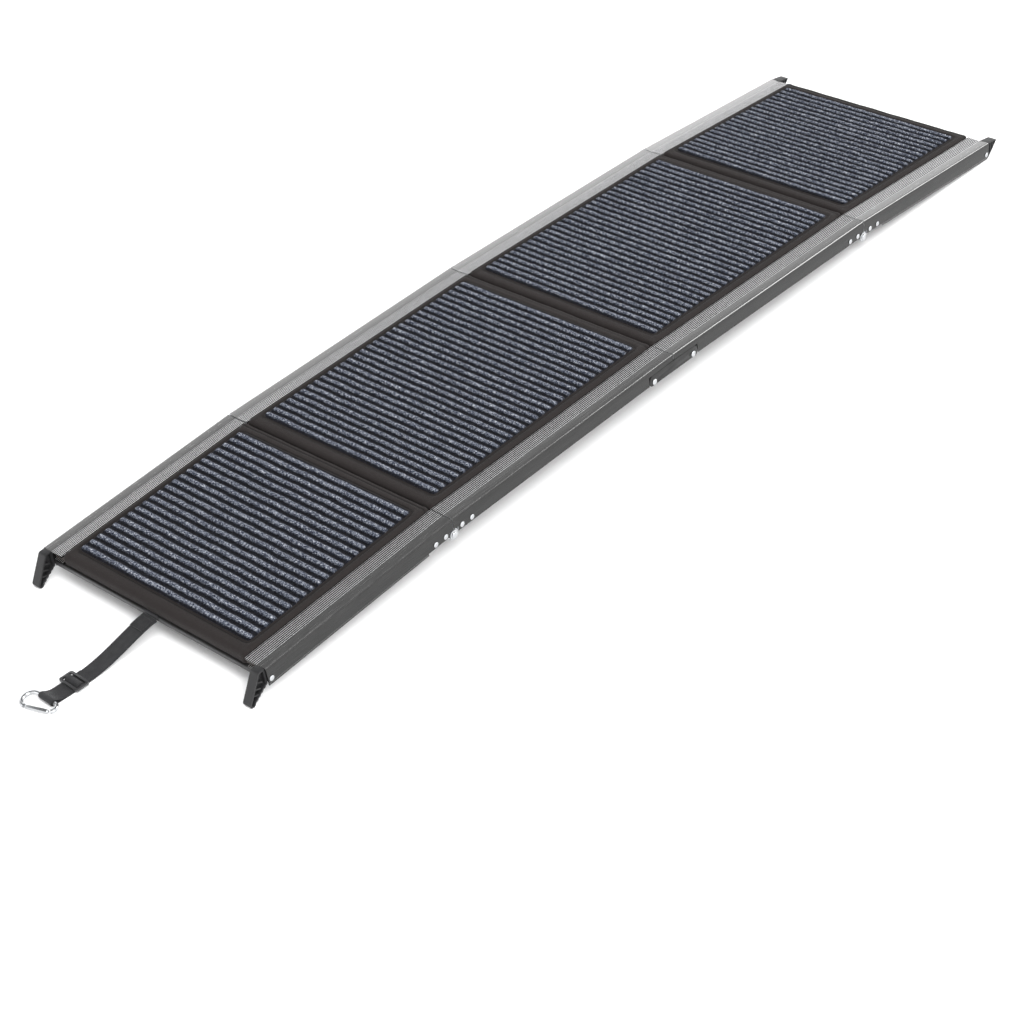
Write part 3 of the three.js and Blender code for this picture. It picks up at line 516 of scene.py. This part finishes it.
def loft(rings, closed_along=False):
    """Faces between rings of the same number of points, each ring closed on itself. The last
    ring joins the first with closed_along, and otherwise both ends are capped."""
    count = len(rings[0])
    faces = []
    last = len(rings) if closed_along else len(rings) - 1
    for i in range(last):
        a, b = i * count, ((i + 1) % len(rings)) * count
        for j in range(count):
            k = (j + 1) % count
            faces.append((a + j, a + k, b + k, b + j))
    if not closed_along:
        faces.append(tuple(range(count))[::-1])
        faces.append(tuple((len(rings) - 1) * count + j for j in range(count)))
    return faces


def arc(centre, radius, start, stop, steps):
    """Points on an arc, its start and stop in degrees."""
    angles = [math.radians(start + (stop - start) * i / steps) for i in range(steps + 1)]
    return [(centre[0] + radius * math.cos(a), centre[1] + radius * math.sin(a)) for a in angles]


def wobble(point, scale, seed):
    """Smooth noise, -1 to 1, that differs with the seed."""
    return noise.noise(Vector(point) * scale + Vector((seed * 7.3, seed * 3.1, seed * 1.7)))


def refined(name, node, material, body, bevel=0.4, segments=2, end_faces=None):
    """A finer copy of a CAD node: flat faces merged, edges rounded by bevel mm, curves shaded
    smooth. Faces that end_faces picks are bare metal."""
    same_point, same_plane = 2e-6, math.radians(0.6)
    mesh = NODES[node].data.copy()
    mesh.name = name
    fix = bmesh.new()
    fix.from_mesh(mesh)
    bmesh.ops.remove_doubles(fix, verts=fix.verts, dist=same_point)
    bmesh.ops.dissolve_limit(fix, angle_limit=same_plane, verts=fix.verts, edges=fix.edges)
    if bevel:
        edges = [e for e in fix.edges if len(e.link_faces) == 2
                 and e.calc_face_angle(0) > math.radians(SHARP_ANGLE)
                 and e.calc_length() > bevel * MM]
        bmesh.ops.bevel(fix, geom=edges, offset=bevel * MM, segments=segments, profile=0.5,
                        affect="EDGES", clamp_overlap=True)
    bmesh.ops.recalc_face_normals(fix, faces=fix.faces)
    fix.to_mesh(mesh)
    fix.free()
    mesh.materials.clear()
    mesh.materials.append(MATERIAL[material])
    mesh.shade_smooth()
    mesh.set_sharp_from_angle(angle=math.radians(SHARP_ANGLE))
    piece = linked(name, mesh)
    if end_faces:
        mesh.materials.append(MATERIAL["bare"])
        for face in mesh.polygons:
            if end_faces(face):
                face.material_index = 1
    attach(piece, body)
    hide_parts(node)
    return piece


def rail_end(face):
    """An end face of a rail, away from the ramp's own two ends."""
    return abs(face.normal.x) > 0.97 and abs(face.center.x) < INNER_LENGTH * 1.2 * MM


def thicken(piece, longer, wider):
    """Scale a bar about its middle: along its own axis, and across it."""
    points = np.array([v.co[:] for v in piece.data.vertices])
    middle = (points.max(0) + points.min(0)) / 2
    axis = np.linalg.svd(points - points.mean(0), full_matrices=False)[2][0]
    offset = points - middle
    along = np.outer(offset @ axis, axis)
    points = middle + along * longer + (offset - along) * wider
    piece.data.vertices.foreach_set("co", points.reshape(-1))
    piece.data.update()


def show_front(bar):
    """The bar's front stands a little proud of the cloth and reaches lower than its back."""
    front, under = OUTER_LENGTH - 4, BAR_TOP - 1.8
    forward, down = 1.0, 2.6
    to_section = SECTION[1].inverted()
    for vertex in bar.data.vertices:
        point = to_section @ vertex.co
        if point.x > front:
            point.x += forward
            if point.z < under:
                point.z -= down
            vertex.co = SECTION[1] @ point
    bar.data.update()


# ------------------------------------------------------------------ feet and lips
def prism(outline, low, high):
    """A closed prism: its outline in (x, z), between two y."""
    count = len(outline)
    points = [(x, y, z) for y in (low, high) for x, z in outline]
    faces = [tuple(range(count)), tuple(range(2 * count - 1, count - 1, -1))]
    faces += [(i, (i + 1) % count, count + (i + 1) % count, count + i) for i in range(count)]
    return points, faces


def ring_prism(outline, inner, low, high):
    """A prism with a hole: both outlines have the same number of points."""
    count = len(outline)
    points = [(x, y, z) for y in (low, high) for line in (outline, inner) for x, z in line]
    faces = []
    for i in range(count):
        j = (i + 1) % count
        for a, b in ((0, 1), (1, 3), (3, 2), (2, 0)):
            faces.append((a * count + i, a * count + j, b * count + j, b * count + i))
    return points, faces


def inset(outline, distance):
    """A clockwise outline moved inwards by a distance."""
    p = np.array(outline, float)
    ahead = np.roll(p, -1, 0) - p
    ahead /= np.linalg.norm(ahead, axis=1)[:, None]
    normal = np.stack([ahead[:, 1], -ahead[:, 0]], 1)
    both = normal + np.roll(normal, 1, 0)
    both /= np.linalg.norm(both, axis=1)[:, None]
    reach = distance / np.clip((both * normal).sum(1), 0.5, 1)
    return [tuple(q) for q in p + both * reach[:, None]]


def strut(start, stop, thickness):
    """The outline of a straight rib between two points."""
    a, b = np.array(start, float), np.array(stop, float)
    side = np.array([b[1] - a[1], a[0] - b[0]])
    side = side / np.linalg.norm(side) * thickness / 2
    return [tuple(a + side), tuple(b + side), tuple(b - side), tuple(a - side)]


def add_moulding(name, node, number, world_side, outline, ribs, skin):
    """A moulded end piece, open on both sides: a rim skin mm thick round its outline, a middle
    wall, ribs, and the plug inside the rail."""
    side = world_side * (-1 if number < 3 else 1)
    rounding, rounded_angle, shortest = 0.5, math.radians(38), 0.6
    low, high = MOULDING_SIDES
    middle = (low + high) / 2
    solids = [ring_prism(outline, inset(outline, skin), low, high)]
    solids.append(prism(inset(outline, skin - 0.6), middle - MOULDING_WALL / 2,
                        middle + MOULDING_WALL / 2))
    solids += [prism(strut(a, b, MOULDING_RIB), low + 0.5, high - 0.5) for a, b in ribs]
    solids.append(prism(PLUG, low + 0.3, high - 0.3))
    build = bmesh.new()
    for points, faces in solids:
        made = [build.verts.new((x + OUTER_LENGTH + 0.3, side * y, z)) for x, y, z in points]
        for face in faces:
            build.faces.new([made[i] for i in face])
    bmesh.ops.recalc_face_normals(build, faces=build.faces)
    edges = [e for e in build.edges
             if e.calc_face_angle(0) > rounded_angle and e.calc_length() > shortest]
    bmesh.ops.bevel(build, geom=edges, offset=rounding, segments=3, profile=0.5, affect="EDGES",
                    clamp_overlap=True)
    build.transform(SECTION[number])
    mesh = bpy.data.meshes.new(name)
    build.to_mesh(mesh)
    build.free()
    mesh.materials.append(MATERIAL["plastic"])
    mesh.shade_smooth()
    mesh.set_sharp_from_angle(angle=math.radians(MOULDED_SHARP_ANGLE))
    piece = linked(name, mesh)
    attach(piece, BODY[number])
    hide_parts(node)


def foot_shape():
    """Side view of a claw foot beyond the rail end, with a wavy back, and its ribs."""
    crown, toe = (7, -4.3), (27, -36.0)
    outline = [(0, -22.5), (0, -0.3), *arc(crown, 4, 90, 32.2, 6), *arc(toe, 4, 32.2, -150, 12)]
    start, stop = np.array(outline[-1]), np.array([0, -22.5])
    back = []
    steps, waves, depth = 26, 5, 0.45
    for i in range(1, steps):
        t = i / steps
        wave = depth * (1 - math.cos(t * waves * math.tau)) * min(1, 6 * (1 - t))
        back.append(tuple(start + (stop - start) * t + wave * np.array([0.55, 0.83])))
    ribs = []
    for t in (0.27, 0.5, 0.72):
        ribs.append(((9 + 18 * t, -3 - 33 * t), (0.8 + 20 * t, -8.5 - 28 * t)))
    return outline + back, ribs


def lip_shape():
    """Side view of a wedge lip beyond the rail end, and its upright ribs."""
    tip, heel = (22.4, -4.6), (4, -24.4)
    outline = [(0, -26.4), (0, -0.3), *arc(tip, 1.6, 80, -55, 6), *arc(heel, 2, -55, -90, 3)]
    ribs = [((x, -2), (x, -25.2 + (x - 4) * 1.02)) for x in (5.4, 10.6, 15.8)]
    return outline, ribs


# ------------------------------------------------------------------ carpets
def add_carpet(number):
    """One mat of ribbed felt with cut edges, its ribs running across the ramp."""
    length = LENGTHS[number]
    start, stop = CARPET_END, length - CARPET_END
    step_x, step_y = 1.3, 1.9
    drifts, drift_size = 24, 0.28
    rim_width = 2.2
    count_x = round((stop - start) / step_x) + 1
    count_y = round(2 * CARPET_HALF_WIDTH / step_y) + 1
    rng = np.random.default_rng(40 + number)
    xs = np.linspace(start, stop, count_x)
    edge_x = np.minimum(xs - start, stop - xs)
    corner = np.clip(CARPET_CORNER - edge_x, 0, CARPET_CORNER)
    half = CARPET_HALF_WIDTH - (CARPET_CORNER - np.sqrt(CARPET_CORNER ** 2 - corner ** 2))
    share = np.linspace(-1, 1, count_y)
    x, y = np.meshgrid(xs, share, indexing="ij")
    y = y * half[:, None]
    ribs = round((stop - start) / RIB_PITCH)
    pitch = (stop - start) / ribs
    drift = np.interp(share, np.linspace(-1, 1, drifts), rng.normal(0, drift_size, drifts))
    phase = ((x - start) / pitch + drift[None, :] / pitch) % 1
    wave = 0.5 - 0.5 * np.cos(2 * np.pi * phase)
    crown = np.clip(wave * 1.25 - 0.16, 0, 1)
    tuft = rng.normal(0, 1, (count_x, count_y))
    soft = (tuft + np.roll(tuft, 1, 1) + np.roll(tuft, 1, 0) + np.roll(tuft, -1, 1)) / 2
    edge = np.minimum(edge_x[:, None], half[:, None] - np.abs(y))
    rim = np.clip(edge / rim_width, 0, 1) ** 0.6
    low, high = CARPET_BASE + 0.9, CARPET_TOP + 0.5  # grooves and crests
    z = low + (high - low) * crown * (0.35 + 0.65 * rim) + 0.3 * soft * rim * (0.4 + 0.6 * crown)
    z = np.maximum(z, CARPET_BASE + 0.25)
    outwards = 0.25 * rng.normal(0, 1, count_x)
    y[:, 0] -= outwards * 0.6
    y[:, -1] += outwards * 0.6
    x = x + 0.12 * rng.normal(0, 1, x.shape) * rim
    top = np.stack([x, y, z], -1).reshape(-1, 3)
    index = np.arange(count_x * count_y).reshape(count_x, count_y)
    faces = np.stack([index[:-1, :-1], index[1:, :-1], index[1:, 1:], index[:-1, 1:]], -1)
    faces = [tuple(f) for f in faces.reshape(-1, 4).tolist()]
    rim_line = [*index[0, :], *index[1:, -1], *index[-1, -2::-1], *index[-2:0:-1, 0]]
    base = top[rim_line].copy()
    base[:, 2] = CARPET_BASE
    first = len(top)
    count = len(rim_line)
    for i in range(count):
        j = (i + 1) % count
        faces.append((int(rim_line[i]), int(rim_line[j]), first + j, first + i))
    faces.append(tuple(first + i for i in range(count)))
    # The rib attribute drives painted shade: dark in the grooves, darker towards the cut edges, and
    # a fixed low value so the cut sides are painted dark.
    height = np.concatenate([(crown * (0.5 + 0.5 * rim)).reshape(-1), np.full(count, 0.35)])
    points = to_world(np.vstack([top, base]), SECTION[number])
    piece = add_piece(f"ribbed_carpet_{number}", points, faces, "carpet", BODY[number],
                      attributes={"rib": height})
    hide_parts(f"carpet_{number}")


# ------------------------------------------------------------------ fabric covers
def sleeve_outline(length, count):
    """count points of the sleeve's outline (x, z), from the middle of its underside and closer
    together near its two ends."""
    x0, x1 = COVER_END, length - COVER_END
    radius, low_radius = 6.5, 3.0
    seam_reach = 26
    points = [((x0 + x1) / 2, COVER_BOTTOM)]
    points += arc((x1 - low_radius, COVER_BOTTOM + low_radius), low_radius, -90, 0, 8)
    points += arc((x1 - radius, COVER_TOP - radius), radius, 0, 90, 8)
    points += arc((x0 + radius, COVER_TOP - radius), radius, 90, 180, 8)
    points += arc((x0 + low_radius, COVER_BOTTOM + low_radius), low_radius, 180, 270, 8)
    return resample(points, count, dense=((x0 - 1, x0 + seam_reach), (x1 - seam_reach, x1 + 1)))


def resample(points, count, dense):
    """count points along a closed line, 3.5 times closer together inside the dense spans of x."""
    points = np.array(points + [points[0]], float)
    steps = np.linalg.norm(np.diff(points, axis=0), axis=1)
    line = np.concatenate([[0], np.cumsum(steps)])
    fine = np.linspace(0, line[-1], 4000)
    x = np.interp(fine, line, points[:, 0])
    z = np.interp(fine, line, points[:, 1])
    weight = np.ones_like(fine)
    for low, high in dense:
        weight[(x > low) & (x < high)] = 3.5
    total = np.concatenate([[0], np.cumsum(weight[1:])])
    at = np.interp(np.linspace(0, total[-1], count + 1)[:-1], total, fine)
    return np.stack([np.interp(at, fine, x), np.interp(at, fine, z)], 1)


def edge_distance(x, y, length):
    """Distance outside the carpet's rounded outline, mm, negative inside."""
    dx = max(CARPET_END + CARPET_CORNER - x, x - (length - CARPET_END - CARPET_CORNER))
    dy = abs(y) - (CARPET_HALF_WIDTH - CARPET_CORNER)
    if dx > 0 and dy > 0:
        return math.hypot(dx, dy) - CARPET_CORNER
    return max(dx, dy) - CARPET_CORNER


def bell(distance, width):
    return math.exp(-(distance / width) ** 2)


def add_cover(number):
    """A sewn cloth sleeve round the deck board: rounded noses, a stitched line beside the
    carpet, a welt at the end that faces the lips, turned hems at its sides and the small waves
    of cloth pulled tight."""
    length = LENGTHS[number]
    count = 190
    nose = 14
    outer = sleeve_outline(length, count)
    inner_x = np.clip(outer[:, 0], BOARD_END, length - BOARD_END)
    inner_z = np.clip(outer[:, 1], BOARD_BOTTOM, BOARD_TOP)
    hem_steps = np.array([0, 0.5, 1.4, 2.8, 4.5, 6.5, 8.5, 10.5])
    ys = np.concatenate([-COVER_HALF_WIDTH + hem_steps, np.linspace(-151, 151, 64),
                         COVER_HALF_WIDTH - hem_steps[::-1]])
    rings, seams = [], []
    for y in ys:
        side = COVER_HALF_WIDTH - abs(y)
        hem = 1.6 * max(0, 1 - side / 2.6) ** 2
        puff = 0.5 * bell(side - 5.5, 3.0)
        ring = []
        for x, z in outer:
            on_top = z > COVER_TOP - 2.5
            out_x = x - min(max(x, nose), length - nose)
            out_z = z - (COVER_TOP + COVER_BOTTOM) / 2
            span = math.hypot(out_x, out_z) or 1
            shrink = hem / span
            distance = edge_distance(x, y, length)
            lift = puff - hem * 0.2
            seam = 0.0
            if on_top:
                seam = bell(distance - 3.2, 0.8)
                lift -= 0.75 * seam + 0.5 * bell(max(distance, 0), 1.4)
                lift += 0.55 * bell(distance - 8.5, 4.0)
                far = length - x if number > 2 else x
                welt = bell(far - 7.8, 0.9)
                lift += 0.7 * bell(far - 4.0, 2.2) - 0.9 * welt
                seam = max(seam, welt)
            if distance > 0.5 or not on_top:
                lift += (0.35 * wobble((x, y, z), 0.035, number)
                         + 0.16 * wobble((x, y, z), 0.12, number + 9))
            if on_top and distance < 0:
                lift = -0.15
            ring.append((x - out_x * shrink + lift * out_x / span, y,
                         z - out_z * shrink + lift * out_z / span))
            seams.append(seam)
        rings.append(ring)
    turned_in = COVER_HALF_WIDTH - 0.6
    for y in (turned_in, -turned_in):
        rings.append([(x, y, z) for x, z in zip(inner_x, inner_z)])
        seams += [0.0] * count
    points = to_world(np.array(rings).reshape(-1, 3), SECTION[number])
    piece = add_piece(f"deck_cloth_{number}", points, loft(rings, closed_along=True), "cover",
                      BODY[number], attributes={"seam": seams})
    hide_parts(f"deck_cover_{number}")


# ------------------------------------------------------------------ strap
def smooth_line(points, spacing):
    """Evenly spaced points on a smooth curve through the given ones, and how far along each is."""
    p = np.array(points, float)
    steps = np.maximum(np.linalg.norm(np.diff(p, axis=0), axis=1), 1e-6)
    t = np.concatenate([[0], np.cumsum(steps)])
    slope = np.gradient(p, t, axis=0)
    fine = np.linspace(0, t[-1], max(8, round(t[-1] / spacing * 4)))
    k = np.clip(np.searchsorted(t, fine) - 1, 0, len(t) - 2)
    h = (t[k + 1] - t[k])[:, None]
    s = ((fine - t[k])[:, None]) / h
    made = ((2 * s ** 3 - 3 * s ** 2 + 1) * p[k] + (s ** 3 - 2 * s ** 2 + s) * h * slope[k]
            + (3 * s ** 2 - 2 * s ** 3) * p[k + 1] + (s ** 3 - s ** 2) * h * slope[k + 1])
    line = np.concatenate([[0], np.cumsum(np.linalg.norm(np.diff(made, axis=0), axis=1))])
    at = np.linspace(0, line[-1], max(3, round(line[-1] / spacing) + 1))
    return np.stack([np.interp(at, line, made[:, i]) for i in range(p.shape[1])], 1), at


def ribbon(route, thickness, width):
    """Flat webbing along a side-view route: rings of points, and for each point how far along
    and across the webbing it is."""
    line, at = smooth_line(route, 1.1)
    ahead = np.gradient(line, axis=0)
    ahead /= np.linalg.norm(ahead, axis=1)[:, None]
    normal = np.stack([-ahead[:, 1], ahead[:, 0]], 1)
    half_w, half_t = width / 2, thickness / 2
    rib_height, rib_pitch = 0.07, 2.2
    flat = np.linspace(-10, 10, 9)
    section = [(-half_w, -0.55), (-half_w + 0.5, -1), *[(v, -1) for v in flat],
               (half_w - 0.5, -1), (half_w, -0.55), (half_w, 0.55), (half_w - 0.5, 1),
               *[(v, 1) for v in flat[::-1]], (-half_w + 0.5, 1), (-half_w, 0.55)]
    rings, along, across = [], [], []
    for (x, z), (nx, nz), distance in zip(line, normal, at):
        ring = []
        for v, side in section:
            inside = 1 if abs(v) < half_w - 1 else 0.3
            rib = rib_height * math.sin(distance * math.tau / rib_pitch) * inside
            lift = side * (half_t + rib * abs(side))
            ring.append((x + nx * lift, v, z + nz * lift))
            along.append(distance)
            across.append(v)
        rings.append(ring)
    return rings, along, across


def add_strap():
    """The webbing in one piece: doubled where it is sewn at the bar, round the hook's spine,
    back through the slider, and its loose end."""
    around = arc(LOOP_MIDDLE, LOOP_RADIUS, -110, 130, 14)
    doubled = [(x, z + WEBBING + 0.05) for x, z in STRAP_ROUTE if x < DOUBLED_LENGTH]
    points, faces, along, across = [], [], [], []
    for route in (STRAP_ROUTE + around + TAIL_ROUTE, doubled):
        rings, a, b = ribbon(route, WEBBING, STRAP_WIDTH)
        faces += [tuple(i + len(points) for i in f) for f in loft(rings)]
        points += [p for ring in rings for p in ring]
        along += a
        across += b
    piece = add_piece("webbing_strap", to_world(points, STRAP), faces, "webbing", "tether",
                      attributes={"along": along, "across": across})
    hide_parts("strap")
    return piece


def add_stitches(name, stitches, normal, body):
    """Short thread stitches, each from its start to its end, in metres."""
    half_width, half_height = 0.00035, 0.0003
    normal = Vector(normal).normalized()
    points, faces = [], []
    for start, stop in stitches:
        start, stop = Vector(start), Vector(stop)
        ahead = stop - start
        side = ahead.cross(normal).normalized() * half_width
        rings = []
        for t, lift in ((0, -0.2), (0.2, 0.35), (0.5, 0.5), (0.8, 0.35), (1, -0.2)):
            middle = start + ahead * t + normal * lift * MM
            rings.append([middle + side * math.cos(a) + normal * half_height * math.sin(a)
                          for a in (i * math.tau / 6 for i in range(6))])
        faces += [tuple(i + len(points) for i in f) for f in loft(rings)]
        points += [p for ring in rings for p in ring]
    return add_piece(name, points, faces, "thread", body)


def strap_stitches():
    """Two long rows and two cross rows through the doubled webbing at the bar."""
    height = 2.05
    line, at = smooth_line([(x, z + height) for x, z in STRAP_ROUTE if x < DOUBLED_LENGTH], 1.0)

    def on_line(distance, across):
        x = np.interp(distance, at, line[:, 0])
        z = np.interp(distance, at, line[:, 1])
        return to_world([(x, across, z)], STRAP)[0]

    stitch = 2.4
    stitches = []
    for across in (-9.5, 9.5):
        for step in range(6):
            begin = 4 + 3.4 * step
            stitches.append((on_line(begin, across), on_line(begin + stitch, across)))
    for distance in (4, 23.5):
        for step in range(6):
            begin = -9.5 + 3.3 * step
            stitches.append((on_line(distance, begin), on_line(distance, begin + stitch)))
    return add_stitches("strap_stitching", stitches, (-0.2, 0, 1), "tether")


# ------------------------------------------------------------------ build
add_camera()
add_world()
add_floor()
for light in LIGHTS:
    add_light(*light)

strap = add_strap()
stitching = strap_stitches()
slider = refined("tri_glide", "slider", "slider", "tether", 0.7, 3)
hook = refined("spring_hook", "snap_hook", "zinc", "tether", 0)
gate = refined("spring_hook_gate", "snap_hook_gate", "zinc", "gate", 0)
thicken(gate, 1.16, 1.13)

for section in LENGTHS:
    add_cover(section)
    add_carpet(section)

for word in ("left", "right"):
    for section, body in BODY.items():
        refined(f"extruded_rail_{section}_{word}", f"rail_{section}_{word}", "rail", body, 0,
                end_faces=rail_end)
        refined(f"riveted_leaf_{section}_{word}", f"hinge_leaf_{section}_{word}", "zinc", body, 0)
    for section in (2, 3):
        refined(f"shouldered_pin_{section}_{word}", f"hinge_pin_{section}_{word}", "zinc",
                BODY[section], 0.3)
        refined(f"moulded_block_{section}_{word}", f"pivot_block_{section}_{word}", "plastic",
                BODY[section], 0.5)
        refined(f"pivot_screw_{section}_{word}", f"link_screw_{section}_{word}", "zinc",
                "centre_link", 0.25)
    refined(f"pressed_link_{word}", f"link_bracket_{word}", "link", "centre_link", 0.4)
    world_side = 1 if word == "left" else -1
    add_moulding(f"claw_foot_{word}", f"foot_{word}", 1, world_side, *foot_shape(), 2.2)
    add_moulding(f"wedge_lip_{word}", f"lip_{word}", 4, world_side, *lip_shape(), 1.9)
    for section in (1, 4):
        refined(f"domed_rivet_{section}_{word}", f"cap_rivet_{section}_{word}", "zinc",
                BODY[section], 0)

show_front(refined("end_bar_near", "near_bar", "bar", BODY[1], 0.5))
refined("end_bar_far", "far_bar", "bar", BODY[4], 0.5)
refined("link_cross_bar", "handle_bar", "link", "centre_link", 0.6)
refined("webbing_band", "strap_anchor", "webbing", BODY[1], 0.3)
grip = refined("foam_grip", "handle_grip", "grip", "centre_link", 1.5, 3)
for section in LENGTHS:
    refined(f"pressed_board_{section}", f"deck_board_{section}", "board", BODY[section], 0.6)

bpy.context.scene.view_settings.view_transform = "Standard"
